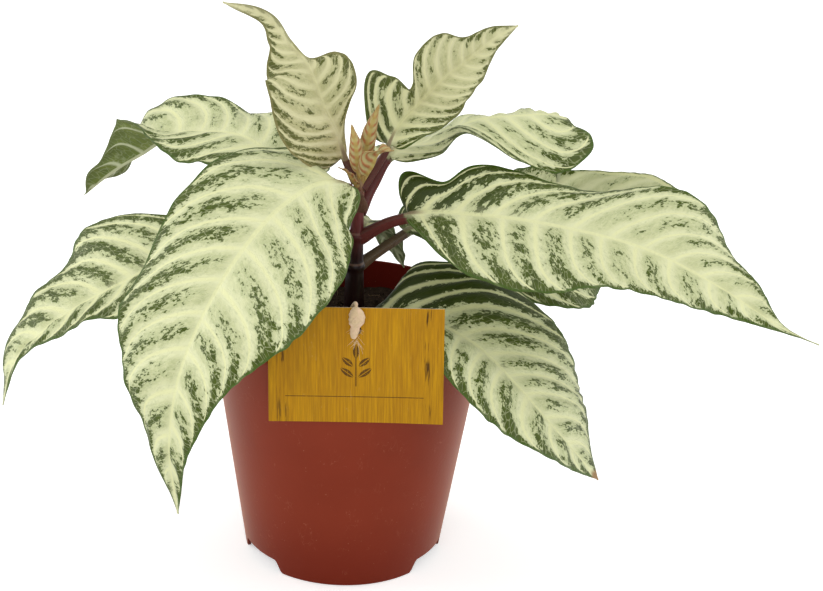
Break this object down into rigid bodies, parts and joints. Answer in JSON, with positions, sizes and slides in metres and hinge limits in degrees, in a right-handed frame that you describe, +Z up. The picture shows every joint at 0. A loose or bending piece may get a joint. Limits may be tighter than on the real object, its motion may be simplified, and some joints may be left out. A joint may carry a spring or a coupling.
{
  "type": "potted zebra plant",
  "caption": "Small potted foliage plant with large waved striped leaves on one stem, in a tapered nursery pot with a card tied on.",
  "frame": {"origin": "bottom centre of the whole plant's box, at the height of the pot's feet", "axes": "+Z up, +X along the plant's longest side, the card on the pot's front towards -Y"},
  "size_m": [0.3388, 0.1932, 0.2415],
  "materials": {
    "pot": "satin",
    "soil": "rough",
    "stem": "satin",
    "leaf": "satin",
    "young_leaf": "satin",
    "card": "matte",
    "string": "matte"
  },
  "bodies": {
    "root": {"pot": "pot", "soil": "soil", "stem": "stem", "leaf_front_left": "leaf", "leaf_low_left": "leaf", "leaf_upper_left": "leaf", "leaf_top_left": "young_leaf", "leaf_top_right": "leaf", "leaf_upper_right": "leaf", "leaf_right": "leaf", "leaf_right_back": "leaf", "leaf_low_right": "leaf", "leaf_back": "leaf", "tip_leaf_tall": "young_leaf", "tip_leaf_back": "young_leaf", "tip_leaf_curled": "young_leaf", "tip_leaf_low": "young_leaf", "card": "card", "string": "string"}
  },
  "joints": []
}
